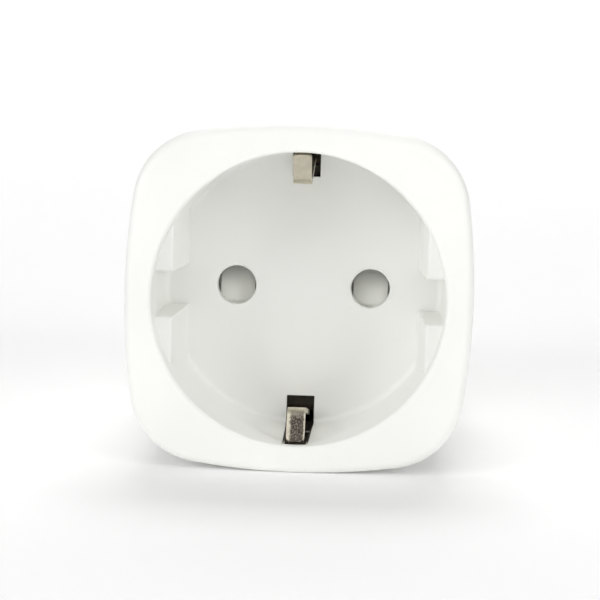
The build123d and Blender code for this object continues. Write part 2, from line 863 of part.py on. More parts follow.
# --- Earth straps, whose bare ends are the plug's side contacts ---
with BuildPart() as earth_strap_top:
    with BuildSketch(Plane.YZ):
        with BuildLine():
            FilletPolyline(*strap_path, radius=strap_bend_radius)
        trace(line_width=strap_thickness)
    extrude(amount=strap_width / 2, both=True)
    strap_end_edges = earth_strap_top.faces().sort_by(Axis.Y)[-1].edges().filter_by(Axis.Z)
    fillet(strap_end_edges, strap_corner_radius)
earth_strap_top.part.label = "earth_strap_top"
export_step(earth_strap_top.part, "parts/earth_strap_top.step")

with BuildPart() as earth_strap_bottom:
    add(earth_strap_top.part.mirror(Plane.XY))
earth_strap_bottom.part.label = "earth_strap_bottom"
export_step(earth_strap_bottom.part, "parts/earth_strap_bottom.step")

# --- Earth bridge from strap to strap, and the contact behind the third hole ---
with BuildPart() as earth_bridge:
    bridge_half_height = strap_path[0][1] - strap_thickness / 2
    block((-bridge_half_width, bridge_half_width), bridge_y, (-bridge_half_height, bridge_half_height))
earth_bridge.part.label = "earth_bridge"
export_step(earth_bridge.part, "parts/earth_bridge.step")

with BuildPart() as french_earth_contact:
    with BuildSketch(at(french_contact_y[1])):
        with Locations((0, french_earth_z)):
            Circle(french_contact_radius)
            Circle(tulip_inner_radius, mode=Mode.SUBTRACT)
    extrude(amount=french_contact_y[1] - french_contact_y[0])
    with BuildSketch(at(french_contact_y[1])):
        with Locations((0, french_earth_z)):
            Rectangle(tulip_slot, 3 * tulip_inner_radius)
            Rectangle(3 * tulip_inner_radius, tulip_slot)
    extrude(amount=french_slot_length, mode=Mode.SUBTRACT)
    with BuildSketch(at(french_contact_y[0])):
        with Locations((0, french_earth_z)):
            Circle(french_contact_radius)
    extrude(amount=french_contact_base)
    with BuildSketch(at(bridge_y[1])):
        with Locations((0, french_earth_z)):
            Circle(french_stem_radius)
    extrude(amount=-(french_contact_y[0] - french_contact_base - bridge_y[1]))
french_earth_contact.part.label = "french_earth_contact"
export_step(french_earth_contact.part, "parts/french_earth_contact.step")

# --- Plug pins ---
with BuildPart() as pin:
    with BuildSketch(at(0)):
        Circle(pin_radius)
    extrude(amount=-pin_length)
    fillet(pin.faces().sort_by(Axis.Y)[-1].edges(), pin_tip_radius)
    with BuildSketch(at(0)):
        Circle(pin_collar_radius)
    extrude(amount=nose_end_wall)
    with BuildSketch(at(-nose_end_wall)):
        Circle(pin_flange_radius)
    extrude(amount=pin_flange_length)
    with BuildSketch(at(-nose_end_wall - pin_flange_length)):
        Circle(pin_tail_radius)
    extrude(amount=-nose_end_wall - pin_flange_length - pin_tail_end_y)

with BuildPart() as line_pin:
    with Locations((-pin_offset, 0, 0)):
        add(pin.part)
line_pin.part.label = "line_pin"
export_step(line_pin.part, "parts/line_pin.step")

with BuildPart() as neutral_pin:
    with Locations((pin_offset, 0, 0)):
        add(pin.part)
neutral_pin.part.label = "neutral_pin"
export_step(neutral_pin.part, "parts/neutral_pin.step")

# --- Pin retainer and its two screws ---
with BuildPart() as pin_retainer:
    with BuildSketch(at(retainer_y[1])):
        Circle(retainer_radius)
        with GridLocations(2 * pin_offset, 0, 2, 1):
            Circle(pin_tail_radius + tail_gap, mode=Mode.SUBTRACT)
        with Locations((0, french_earth_z)):
            Circle(french_contact_radius + 2 * tail_gap, mode=Mode.SUBTRACT)
        with Locations(*retainer_screw_places):
            Circle(small_hole_radius, mode=Mode.SUBTRACT)
    extrude(amount=retainer_y[1] - retainer_y[0])
pin_retainer.part.label = "pin_retainer"
export_step(pin_retainer.part, "parts/pin_retainer.step")

with BuildPart() as retainer_screws:
    add(small_screws(retainer_screw_places, retainer_y[0]))
retainer_screws.part.label = "retainer_screws"
export_step(retainer_screws.part, "parts/retainer_screws.step")

# --- Main board and its screws ---
with BuildPart() as main_board:
    with BuildSketch(at(main_board_y[1])):
        add(outline(taper(main_board_y[1]) + rear_wall + board_gap))
        with GridLocations(2 * boss_xz, 2 * boss_xz, 2, 2):
            Circle(tube_radius + board_gap, mode=Mode.SUBTRACT)
        with GridLocations(2 * board_corner_xz, 2 * board_corner_xz, 2, 2):
            Rectangle(board_corner_size, board_corner_size, mode=Mode.SUBTRACT)
        with GridLocations(0, 2 * strap_notch_z, 1, 2):
            Rectangle(strap_width + 4 * board_gap, board_corner_size, mode=Mode.SUBTRACT)
        with GridLocations(2 * pin_offset, 0, 2, 1):
            Circle(pin_tail_radius + tail_gap, mode=Mode.SUBTRACT)
        with Locations((pin_offset, contact_tail_z), (-pin_offset, contact_tail_z)):
            Rectangle(contact_tail[0] + 2 * tail_gap, contact_tail[1] + 2 * tail_gap, mode=Mode.SUBTRACT)
        with Locations(*board_screw_places):
            Circle(small_hole_radius, mode=Mode.SUBTRACT)
        with Locations(*varistor_leg_places):
            Circle(varistor_leg_radius + tail_gap, mode=Mode.SUBTRACT)
        for leg_x in relay_leg_x:
            with Locations((leg_x, coil_z)):
                Rectangle(*relay_leg_slot, mode=Mode.SUBTRACT)
    extrude(amount=main_board_y[1] - main_board_y[0])
main_board.part.label = "main_board"
export_step(main_board.part, "parts/main_board.step")

with BuildPart() as board_screws:
    add(small_screws(board_screw_places, main_board_y[0]))
board_screws.part.label = "board_screws"
export_step(board_screws.part, "parts/board_screws.step")

# --- Relay: base, cover, magnet, and the armature with its contacts ---
with BuildPart() as relay_base:
    block(relay_x, relay_base_y, relay_z)
    with BuildSketch(at(relay_base_y[1])):
        for leg_x in relay_leg_x:
            with Locations((leg_x, coil_z)):
                Rectangle(*relay_leg_slot)
    extrude(amount=relay_base_y[1] - relay_base_y[0], mode=Mode.SUBTRACT)
relay_base.part.label = "relay_base"
export_step(relay_base.part, "parts/relay_base.step")

with BuildPart() as relay_cover:
    block(relay_x, (relay_front_y, relay_base_y[0]), relay_z)
    fillet(relay_cover.edges().filter_by(Axis.Y), relay_wall)
    block(
        (relay_x[0] + relay_wall, relay_x[1] - relay_wall),
        (relay_front_y + relay_wall, relay_base_y[0]),
        (relay_z[0] + relay_wall, relay_z[1] - relay_wall),
        mode=Mode.SUBTRACT,
    )
relay_cover.part.label = "relay_cover"
export_step(relay_cover.part, "parts/relay_cover.step")

with BuildPart() as relay_core:
    with BuildSketch(at(bobbin_y[1] + relay_plate)):
        with Locations((coil_x, coil_z)):
            Circle(core_radius)
    extrude(amount=bobbin_y[1] + relay_plate - pole_face_y)
    with BuildSketch(at(bobbin_y[0] - solder_gap)):
        with Locations((coil_x, coil_z)):
            Circle(pole_radius)
    extrude(amount=bobbin_y[0] - solder_gap - pole_face_y)
relay_core.part.label = "relay_core"
export_step(relay_core.part, "parts/relay_core.step")

with BuildPart() as relay_bobbin:
    with BuildSketch(at(bobbin_y[1])):
        with Locations((coil_x, coil_z)):
            Circle(core_radius + bobbin_wall)
    extrude(amount=bobbin_y[1] - bobbin_y[0])
    for flange_y in (bobbin_y[1], bobbin_y[0] + bobbin_flange_thickness):
        with BuildSketch(at(flange_y)):
            with Locations((coil_x, coil_z)):
                RectangleRounded(bobbin_flange, bobbin_flange, core_radius)
        extrude(amount=bobbin_flange_thickness)
    with BuildSketch(at(bobbin_y[1])):
        with Locations((coil_x, coil_z)):
            Circle(core_radius + slip_gap)
    extrude(amount=bobbin_y[1] - bobbin_y[0], mode=Mode.SUBTRACT)
relay_bobbin.part.label = "relay_bobbin"
export_step(relay_bobbin.part, "parts/relay_bobbin.step")

with BuildPart() as relay_coil:
    with BuildSketch(at(bobbin_y[1] - bobbin_flange_thickness - slip_gap)):
        with Locations((coil_x, coil_z)):
            Circle(coil_radius)
            Circle(core_radius + bobbin_wall + slip_gap, mode=Mode.SUBTRACT)
    extrude(amount=bobbin_y[1] - bobbin_y[0] - 2 * bobbin_flange_thickness - 2 * slip_gap)
relay_coil.part.label = "relay_coil"
export_step(relay_coil.part, "parts/relay_coil.step")

yoke_z = (coil_z - yoke_half_height, coil_z + yoke_half_height)
yoke_x = (pivot_x - relay_plate / 2, pivot_x + relay_plate / 2)
yoke_back_y = bobbin_y[1] + relay_plate
with BuildPart() as relay_yoke:
    block((yoke_x[0], coil_x + pole_radius), (bobbin_y[1], yoke_back_y), yoke_z)
    with BuildSketch(at(yoke_back_y)):
        with Locations((coil_x, coil_z)):
            Circle(core_radius)
    extrude(amount=relay_plate, mode=Mode.SUBTRACT)
    block(yoke_x, (armature_closed_y[1] + armature_gap, yoke_back_y), yoke_z)
    block(
        (pivot_x - relay_leg_thickness / 2, pivot_x + relay_leg_thickness / 2),
        (yoke_back_y, tail_end_y),
        (coil_z - relay_leg_half_height, coil_z + relay_leg_half_height),
    )
relay_yoke.part.label = "relay_yoke"
export_step(relay_yoke.part, "parts/relay_yoke.step")

# The armature and its contact leaf are drawn closed, then swung open about the yoke's edge.
armature_hinge = Axis((pivot_x, pivot_y, 0), (0, 0, 1))
with BuildPart() as closed_armature:
    block(
        (pivot_x, coil_x + pole_radius),
        armature_closed_y,
        (coil_z - armature_half_height, coil_z + armature_half_height),
    )
    with BuildSketch(Plane.XY.offset(coil_z - armature_half_height)):
        with Locations((pivot_x, armature_closed_y[1] - relay_plate / 2)):
            Circle(relay_plate / 2)
    extrude(amount=2 * armature_half_height)
with BuildPart() as relay_armature:
    add(closed_armature.part.rotate(armature_hinge, -armature_open_angle))
relay_armature.part.label = "relay_armature"
export_step(relay_armature.part, "parts/relay_armature.step")

with BuildPart() as closed_leaf:
    block(
        (coil_x - core_radius, contact_x + contact_radius),
        (armature_closed_y[0] - contact_leaf_thickness, armature_closed_y[0]),
        (coil_z - contact_half_height, coil_z + contact_half_height),
    )
    with BuildSketch(at(armature_closed_y[0])):
        with Locations((contact_x, coil_z)):
            Circle(contact_radius)
    extrude(amount=-moving_contact_height)
with BuildPart() as relay_contact_leaf:
    add(closed_leaf.part.rotate(armature_hinge, -armature_open_angle))
relay_contact_leaf.part.label = "relay_contact_leaf"
export_step(relay_contact_leaf.part, "parts/relay_contact_leaf.step")

contact_plate_y = fixed_contact_y + fixed_contact_height
with BuildPart() as relay_fixed_contact:
    with BuildSketch(at(contact_plate_y)):
        with Locations((contact_x, coil_z)):
            Circle(contact_radius)
    extrude(amount=fixed_contact_height)
    block(
        (contact_x - contact_radius, relay_leg_x[0] + relay_leg_thickness / 2),
        (contact_plate_y, contact_plate_y + relay_leg_thickness),
        (coil_z - contact_half_height, coil_z + contact_half_height),
    )
    block(
        (relay_leg_x[0] - relay_leg_thickness / 2, relay_leg_x[0] + relay_leg_thickness / 2),
        (contact_plate_y, tail_end_y),
        (coil_z - relay_leg_half_height, coil_z + relay_leg_half_height),
    )
relay_fixed_contact.part.label = "relay_fixed_contact"
export_step(relay_fixed_contact.part, "parts/relay_fixed_contact.step")

# --- Transformer of the small power supply ---
with BuildPart() as transformer_core:
    block(
        transformer_x,
        transformer_y,
        (transformer_z - transformer_half_height, transformer_z + transformer_half_height),
    )
    with BuildSketch(Plane.XY.offset(transformer_z - transformer_half_height)):
        with Locations((transformer_middle, (transformer_y[0] + transformer_y[1]) / 2)):
            with GridLocations(2 * transformer_window_offset, 0, 2, 1):
                Rectangle(transformer_window, transformer_y[1] - transformer_y[0] - 2 * transformer_rim)
    extrude(amount=2 * transformer_half_height, mode=Mode.SUBTRACT)
transformer_core.part.label = "transformer_core"
export_step(transformer_core.part, "parts/transformer_core.step")

with BuildPart() as transformer_winding:
    block(
        (transformer_middle - winding_half_width, transformer_middle + winding_half_width),
        winding_y,
        (transformer_z - winding_half_height, transformer_z + winding_half_height),
    )
    fillet(transformer_winding.edges().filter_by(Axis.Y), winding_inner_half_width / 2)
    block(
        (transformer_middle - winding_inner_half_width, transformer_middle + winding_inner_half_width),
        transformer_y,
        (transformer_z - winding_inner_half_height, transformer_z + winding_inner_half_height),
        mode=Mode.SUBTRACT,
    )
transformer_winding.part.label = "transformer_winding"
export_step(transformer_winding.part, "parts/transformer_winding.step")

with BuildPart() as transformer_base:
    block(
        transformer_x,
        (transformer_y[1], main_board_y[0]),
        (transformer_z - winding_half_height, transformer_z + winding_half_height),
    )
transformer_base.part.label = "transformer_base"
export_step(transformer_base.part, "parts/transformer_base.step")

# --- Capacitors, varistor, fusible resistor and shunt on the main board ---
with BuildPart() as electrolytic_capacitors:
    with BuildSketch(at(main_board_y[0])):
        with Locations(*electrolytic_places):
            Circle(electrolytic_radius)
    extrude(amount=electrolytic_length)
    fillet(electrolytic_capacitors.faces().group_by(Axis.Y)[0].edges(), electrolytic_edge_radius)
electrolytic_capacitors.part.label = "electrolytic_capacitors"
export_step(electrolytic_capacitors.part, "parts/electrolytic_capacitors.step")

with BuildPart() as safety_capacitor:
    block(safety_capacitor_x, (safety_capacitor_front_y, main_board_y[0]), safety_capacitor_z)
    fillet(safety_capacitor.edges().filter_by(Axis.Y), safety_capacitor_corner)
safety_capacitor.part.label = "safety_capacitor"
export_step(safety_capacitor.part, "parts/safety_capacitor.step")

with BuildPart() as varistor:
    with BuildSketch(Plane.XY.offset(varistor_z[0])):
        with Locations(varistor_place):
            Circle(varistor_radius)
    extrude(amount=varistor_z[1] - varistor_z[0])
    fillet(varistor.faces().filter_by(Axis.Z).edges(), varistor_edge_radius)
    with BuildSketch(at(tail_end_y)):
        with Locations(*varistor_leg_places):
            Circle(varistor_leg_radius)
    extrude(amount=varistor_leg_length)
varistor.part.label = "varistor"
export_step(varistor.part, "parts/varistor.step")

with BuildPart() as fuse_resistor:
    with BuildSketch(at(resistor_y[1])):
        with Locations((resistor_x, 0)):
            Circle(resistor_radius)
    extrude(amount=resistor_y[1] - resistor_y[0])
    fillet(fuse_resistor.edges().filter_by(GeomType.CIRCLE), resistor_radius / 3)
    with BuildSketch(at(main_board_y[0])):
        with Locations((resistor_x, 0)):
            Circle(resistor_lead_radius)
    extrude(amount=main_board_y[0] - resistor_y[1] + resistor_radius / 3)
fuse_resistor.part.label = "fuse_resistor"
export_step(fuse_resistor.part, "parts/fuse_resistor.step")

with BuildPart() as metering_shunt:
    with BuildSketch(Plane.YZ.offset(shunt_x)):
        with BuildLine():
            FilletPolyline(
                (main_board_y[0], -shunt_half_span),
                (shunt_front_y, -shunt_half_span),
                (shunt_front_y, shunt_half_span),
                (main_board_y[0], shunt_half_span),
                radius=shunt_bend_radius,
            )
        trace(line_width=shunt_thickness)
    extrude(amount=shunt_half_width, both=True)
metering_shunt.part.label = "metering_shunt"
export_step(metering_shunt.part, "parts/metering_shunt.step")

# --- Chips on the back of the main board ---
leg_y = (main_board_y[1], main_board_y[1] + leg_thickness)
with BuildPart() as metering_chip:
    block(chip_x, (main_board_y[1] + solder_gap, chip_back_y), chip_z)
    chamfer(metering_chip.faces().sort_by(Axis.Y)[-1].edges(), leg_thickness / 2)
    for leg_number in range(4):
        leg_x = chip_x[0] + chip_leg_width + leg_number * chip_leg_pitch
        block(
            (leg_x, leg_x + chip_leg_width),
            leg_y,
            (chip_z[0] - chip_leg_reach, chip_z[1] + chip_leg_reach),
        )
metering_chip.part.label = "metering_chip"
export_step(metering_chip.part, "parts/metering_chip.step")

with BuildPart() as bridge_rectifier:
    block(rectifier_x, (main_board_y[1] + solder_gap, chip_back_y), rectifier_z)
    chamfer(bridge_rectifier.faces().sort_by(Axis.Y)[-1].edges(), leg_thickness / 2)
    for leg_x in rectifier_leg_x:
        block(
            (leg_x, leg_x + rectifier_leg_width),
            leg_y,
            (rectifier_z[0] - chip_leg_reach, rectifier_z[1] + chip_leg_reach),
        )
bridge_rectifier.part.label = "bridge_rectifier"
export_step(bridge_rectifier.part, "parts/bridge_rectifier.step")

with BuildPart() as chip_resistors:
    with BuildSketch(at(main_board_y[1] + chip_resistor_height)):
        for place in chip_resistor_places:
            with Locations(place):
                with GridLocations(*chip_resistor_pitch, 2, 4):
                    Rectangle(*chip_resistor_size)
    extrude(amount=chip_resistor_height)
chip_resistors.part.label = "chip_resistors"
export_step(chip_resistors.part, "parts/chip_resistors.step")

# --- Control board with its header, radio shield, switch and status light ---
with BuildPart() as control_board:
    block(
        control_board_x,
        control_board_y,
        (-control_board_half_height, control_board_half_height),
    )
control_board.part.label = "control_board"
export_step(control_board.part, "parts/control_board.step")

with BuildPart() as board_header:
    header_x = (control_board_x[0] - header_depth, control_board_x[0])
    block(header_x, header_y, (-header_half_height, header_half_height))
    for pin_number in range(-2, 3):
        pin_z = pin_number * header_pin_pitch
        half_pin = (header_pin_x[1] - header_pin_x[0]) / 2
        block(
            header_pin_x,
            (header_y[0] - header_pin_length / 2, header_y[0]),
            (pin_z - half_pin, pin_z + half_pin),
        )
board_header.part.label = "board_header"
export_step(board_header.part, "parts/board_header.step")

with BuildPart() as radio_shield:
    block((control_board_x[1], shield_outer_x), shield_y, shield_z)
    fillet(radio_shield.faces().sort_by(Axis.X)[-1].edges(), shield_wall)
    block(
        (control_board_x[1], shield_outer_x - shield_wall),
        (shield_y[0] + shield_wall, shield_y[1] - shield_wall),
        (shield_z[0] + shield_wall, shield_z[1] - shield_wall),
        mode=Mode.SUBTRACT,
    )
radio_shield.part.label = "radio_shield"
export_step(radio_shield.part, "parts/radio_shield.step")

with BuildPart() as switch_body:
    half_switch = switch_size / 2
    block(
        (control_board_x[1], control_board_x[1] + switch_height),
        (button_y - half_switch, button_y + half_switch),
        (-half_switch, half_switch),
    )
    with BuildSketch(Plane.YZ.offset(control_board_x[1] + switch_floor)):
        with Locations((button_y, 0)):
            Circle(plunger_radius + plunger_gap)
    extrude(amount=switch_height, mode=Mode.SUBTRACT)
switch_body.part.label = "switch_body"
export_step(switch_body.part, "parts/switch_body.step")

with BuildPart() as switch_plunger:
    with BuildSketch(Plane.YZ.offset(plunger_x[0])):
        with Locations((button_y, 0)):
            Circle(plunger_radius)
    extrude(amount=plunger_x[1] - plunger_x[0])
switch_plunger.part.label = "switch_plunger"
export_step(switch_plunger.part, "parts/switch_plunger.step")

with BuildPart() as status_led:
    block(
        (control_board_x[1], led_x),
        (button_y - led_half_length, button_y + led_half_length),
        (lens_z - led_half_width, lens_z + led_half_width),
    )
status_led.part.label = "status_led"
export_step(status_led.part, "parts/status_led.step")
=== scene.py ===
import json
from math import cos, pi, radians, sin

import bmesh
import bpy
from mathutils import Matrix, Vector


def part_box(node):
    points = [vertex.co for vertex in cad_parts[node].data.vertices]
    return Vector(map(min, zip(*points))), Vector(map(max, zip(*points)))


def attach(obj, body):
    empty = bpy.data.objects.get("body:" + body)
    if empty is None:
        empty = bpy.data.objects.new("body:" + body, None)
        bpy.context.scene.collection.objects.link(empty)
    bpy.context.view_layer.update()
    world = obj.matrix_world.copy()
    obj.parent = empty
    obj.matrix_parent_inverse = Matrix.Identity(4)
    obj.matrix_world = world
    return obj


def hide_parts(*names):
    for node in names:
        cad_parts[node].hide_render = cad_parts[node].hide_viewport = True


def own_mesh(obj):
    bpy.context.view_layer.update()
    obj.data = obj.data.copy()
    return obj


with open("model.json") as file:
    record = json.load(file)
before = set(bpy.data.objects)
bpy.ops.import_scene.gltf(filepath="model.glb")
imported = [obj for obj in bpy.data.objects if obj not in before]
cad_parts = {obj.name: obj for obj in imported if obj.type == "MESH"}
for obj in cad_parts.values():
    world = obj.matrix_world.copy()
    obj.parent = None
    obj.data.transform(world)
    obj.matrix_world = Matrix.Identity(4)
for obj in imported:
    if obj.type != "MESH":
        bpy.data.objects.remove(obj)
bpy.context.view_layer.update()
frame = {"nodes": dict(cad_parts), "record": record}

MM = 0.001
nodes = frame["nodes"]


# ---------------------------------------------------------------- building blocks of a material

coat_roughness = 0.12
subsurface_tint = (1.0, 0.95, 0.9)
subsurface_depth = 0.8 * MM
# a pattern of lines is squeezed to this share along them
line_squeeze = 0.12


def new_material(name, color, roughness, metallic=0.0, coat=0.0, subsurface=0.0):
    """A Principled material with its even values set on the shader's own sockets."""
    material = bpy.data.materials.new(name)
    material.use_nodes = True
    tree = material.node_tree
    shader = tree.nodes["Principled BSDF"]
    shader.inputs["Base Color"].default_value = (*color, 1.0)
    shader.inputs["Roughness"].default_value = roughness
    shader.inputs["Metallic"].default_value = metallic
    shader.inputs["Coat Weight"].default_value = coat
    shader.inputs["Coat Roughness"].default_value = coat_roughness
    shader.inputs["Subsurface Weight"].default_value = subsurface
    shader.inputs["Subsurface Radius"].default_value = subsurface_tint
    shader.inputs["Subsurface Scale"].default_value = subsurface_depth
    return material, tree, shader


def object_coordinates(tree, along=""):
    """Object-space coordinates in millimetres, squeezed along the named axes for a pattern of lines."""
    coordinates = tree.nodes.new("ShaderNodeTexCoord")
    mapping = tree.nodes.new("ShaderNodeMapping")
    stretch = [line_squeeze if axis in along else 1.0 for axis in "XYZ"]
    mapping.inputs["Scale"].default_value = [s / MM for s in stretch]
    tree.links.new(coordinates.outputs["Object"], mapping.inputs["Vector"])
    return mapping.outputs["Vector"]


def noise_texture(tree, vector, scale, detail, roughness):
    """A noise texture whose features are about 1/scale millimetres."""
    texture = tree.nodes.new("ShaderNodeTexNoise")
    texture.inputs["Scale"].default_value = scale
    texture.inputs["Detail"].default_value = detail
    texture.inputs["Roughness"].default_value = roughness
    tree.links.new(vector, texture.inputs["Vector"])
    return texture


def noise(tree, vector, scale, detail=3.0, roughness=0.55):
    """Noise as one factor from 0 to 1."""
    return noise_texture(tree, vector, scale, detail, roughness).outputs["Fac"]


def ragged(tree, vector, scale, reach):
    """The coordinates pushed about by noise, so that a boundary drawn with them is uneven."""
    texture = noise_texture(tree, vector, scale, detail=4.0, roughness=0.5)
    node = tree.nodes.new("ShaderNodeVectorMath")
    node.operation = "MULTIPLY_ADD"
    node.inputs[1].default_value = (reach, reach, reach)
    tree.links.new(texture.outputs["Color"], node.inputs[0])
    tree.links.new(vector, node.inputs[2])
    return node.outputs["Vector"]


def step_along(tree, vector, axis, start, end):
    """0 to 1 as one coordinate goes from start to end, in millimetres."""
    parts = tree.nodes.new("ShaderNodeSeparateXYZ")
    tree.links.new(vector, parts.inputs["Vector"])
    node = tree.nodes.new("ShaderNodeMapRange")
    node.interpolation_type = "SMOOTHSTEP"
    node.inputs["From Min"].default_value = start
    node.inputs["From Max"].default_value = end
    tree.links.new(parts.outputs[axis], node.inputs["Value"])
    return node.outputs["Result"]


def spread(tree, factor, low, high):
    """The 0 to 1 factor mapped to low to high."""
    node = tree.nodes.new("ShaderNodeMapRange")
    node.inputs["To Min"].default_value = low
    node.inputs["To Max"].default_value = high
    tree.links.new(factor, node.inputs["Value"])
    return node.outputs["Result"]


def product(tree, first, second):
    """Two factors multiplied."""
    node = tree.nodes.new("ShaderNodeMath")
    node.operation = "MULTIPLY"
    tree.links.new(first, node.inputs[0])
    tree.links.new(second, node.inputs[1])
    return node.outputs["Value"]


def ramp(tree, factor, stops):
    """A colour ramp of (position, colour) stops."""
    node = tree.nodes.new("ShaderNodeValToRGB")
    while len(node.color_ramp.elements) < len(stops):
        node.color_ramp.elements.new(0.5)
    for element, (position, color) in zip(node.color_ramp.elements, stops):
        element.position = position
        element.color = (*color, 1.0)
    tree.links.new(factor, node.inputs["Fac"])
    return node.outputs["Color"]


def blend(tree, factor, first, second):
    """Two colours blended by a factor."""
    node = tree.nodes.new("ShaderNodeMix")
    node.data_type = "RGBA"
    tree.links.new(factor, node.inputs["Factor"])
    tree.links.new(first, node.inputs["A"])
    tree.links.new(second, node.inputs["B"])
    return node.outputs["Result"]


def bump(tree, shader, height, depth_mm):
    """A bump of the given depth in millimetres."""
    node = tree.nodes.new("ShaderNodeBump")
    node.inputs["Strength"].default_value = 1.0
    node.inputs["Distance"].default_value = depth_mm * MM
    tree.links.new(height, node.inputs["Height"])
    tree.links.new(node.outputs["Normal"], shader.inputs["Normal"])


def shade(color, factor):
    """The colour made lighter or darker."""
    return tuple(min(1.0, c * factor) for c in color)


# ---------------------------------------------------------------- materials

nickel = (0.63, 0.585, 0.475)


def moulded_plastic(name, color, roughness, grain=9.0, grain_depth=0.006, coat=0.0, subsurface=0.0):
    """Injection-moulded plastic: faint flow mottling, spark-eroded grain and uneven gloss."""
    gloss_change = 0.05
    material, tree, shader = new_material(name, color, roughness, coat=coat, subsurface=subsurface)
    vector = object_coordinates(tree)
    mottling = noise(tree, vector, scale=0.09, detail=2.0)
    stops = [(0.3, shade(color, 0.975)), (0.7, shade(color, 1.015))]
    tree.links.new(ramp(tree, mottling, stops), shader.inputs["Base Color"])
    gloss = noise(tree, vector, scale=0.6, detail=4.0)
    uneven = spread(tree, gloss, roughness - gloss_change, roughness + gloss_change)
    tree.links.new(uneven, shader.inputs["Roughness"])
    bump(tree, shader, noise(tree, vector, grain, detail=2.0), grain_depth)
    return material


def plated_metal(name, color, roughness, along, dark, scratch=5.0):
    """Plated sheet or turned metal: fine lines along the named axes, with faint tarnish."""
    polished = 0.09
    scratched = 0.12
    line_depth = 0.004
    material, tree, shader = new_material(name, color, roughness, metallic=1.0)
    tarnish = noise(tree, object_coordinates(tree), scale=0.7, detail=5.0, roughness=0.6)
    stops = [(0.30, dark), (0.52, color), (0.85, shade(color, 1.12))]
    tree.links.new(ramp(tree, tarnish, stops), shader.inputs["Base Color"])
    streaks = noise(tree, object_coordinates(tree, along), scratch)
    uneven = spread(tree, streaks, roughness - polished, roughness + scratched)
    tree.links.new(uneven, shader.inputs["Roughness"])
    bump(tree, shader, streaks, line_depth)
    return material


def clean_nickel(tree, vector):
    """The slightly cloudy tone of clean nickel plate."""
    stops = [(0.3, shade(nickel, 0.86)), (0.7, shade(nickel, 1.1))]
    return ramp(tree, noise(tree, vector, scale=0.8), stops)


def dark_lead_in_clip_metal(name):
    """The lower clip: its lead-in is dark and speckled between two clean, brighter edges."""
    left_edge = (-0.72, -0.32)
    right_edge = (1.42, 1.26)
    lead_in = (-58.0, -59.3)
    speckle_depth = 0.006
    material, tree, shader = new_material(name, nickel, 0.3, metallic=1.0)
    vector = object_coordinates(tree)
    uneven = ragged(tree, vector, scale=2.2, reach=0.5)
    from_left = step_along(tree, uneven, "X", *left_edge)
    from_right = step_along(tree, uneven, "X", *right_edge)
    outwards = step_along(tree, uneven, "Y", *lead_in)
    lead_in_darkening = product(tree, product(tree, from_left, from_right), outwards)
    speckle = noise(tree, vector, scale=5.5, detail=6.0, roughness=0.75)
    stops = [
        (0.40, (0.045, 0.036, 0.030)),
        (0.56, (0.13, 0.112, 0.094)),
        (0.70, (0.75, 0.70, 0.62)),
    ]
    tint = blend(tree, lead_in_darkening, clean_nickel(tree, vector), ramp(tree, speckle, stops))
    tree.links.new(tint, shader.inputs["Base Color"])
    tree.links.new(spread(tree, speckle, 0.22, 0.46), shader.inputs["Roughness"])
    bump(tree, shader, speckle, speckle_depth)
    return material


def strap_metal(name):
    """The earth straps: bright contacts at the plug, with painted shade that turns them nearly black deep in
    the housing.
    """
    # the painted shade darkens the straps over this span of depth, in millimetres
    painted_shade_start = (-27.0, -35.0)
    line_depth = 0.003
    material, tree, shader = new_material(name, nickel, 0.3, metallic=1.0)
    vector = object_coordinates(tree)
    # painted shade: near-black tones where the straps lie deep in the housing behind the clip windows
    stops = [(0.3, (0.035, 0.028, 0.022)), (0.7, (0.07, 0.058, 0.046))]
    painted_shade = ramp(tree, noise(tree, vector, scale=1.5), stops)
    painted_shade_mask = step_along(tree, vector, "Y", *painted_shade_start)
    tint = blend(tree, painted_shade_mask, clean_nickel(tree, vector), painted_shade)
    tree.links.new(tint, shader.inputs["Base Color"])
    streaks = noise(tree, object_coordinates(tree, "YZ"), scale=6.0)
    tree.links.new(spread(tree, streaks, 0.22, 0.42), shader.inputs["Roughness"])
    bump(tree, shader, streaks, line_depth)
    return material


def clip_window_lining(name):
    """The clip windows' lining: nearly black inside, with a painted highlight that makes its mouth paler."""
    painted_highlight_start = (-57.2, -60.2)
    grain_depth = 0.01
    material, tree, shader = new_material(name, (0.012, 0.010, 0.008), 0.7)
    vector = object_coordinates(tree)
    mouth = step_along(tree, ragged(tree, vector, scale=1.2, reach=0.8), "Y", *painted_highlight_start)
    inside_stops = [(0.3, (0.020, 0.015, 0.010)), (0.7, (0.048, 0.038, 0.027))]
    inside = ramp(tree, noise(tree, vector, scale=0.5), inside_stops)
    # painted highlight: pale tones on the lining's mouth towards the face
    painted_highlight_stops = [(0.3, (0.52, 0.52, 0.45)), (0.7, (0.68, 0.68, 0.60))]
    painted_highlight = ramp(tree, noise(tree, vector, scale=0.9), painted_highlight_stops)
    tree.links.new(blend(tree, mouth, inside, painted_highlight), shader.inputs["Base Color"])
    uneven = spread(tree, noise(tree, vector, scale=3.0), 0.62, 0.8)
    tree.links.new(uneven, shader.inputs["Roughness"])
    bump(tree, shader, noise(tree, vector, scale=7.0), grain_depth)
    return material


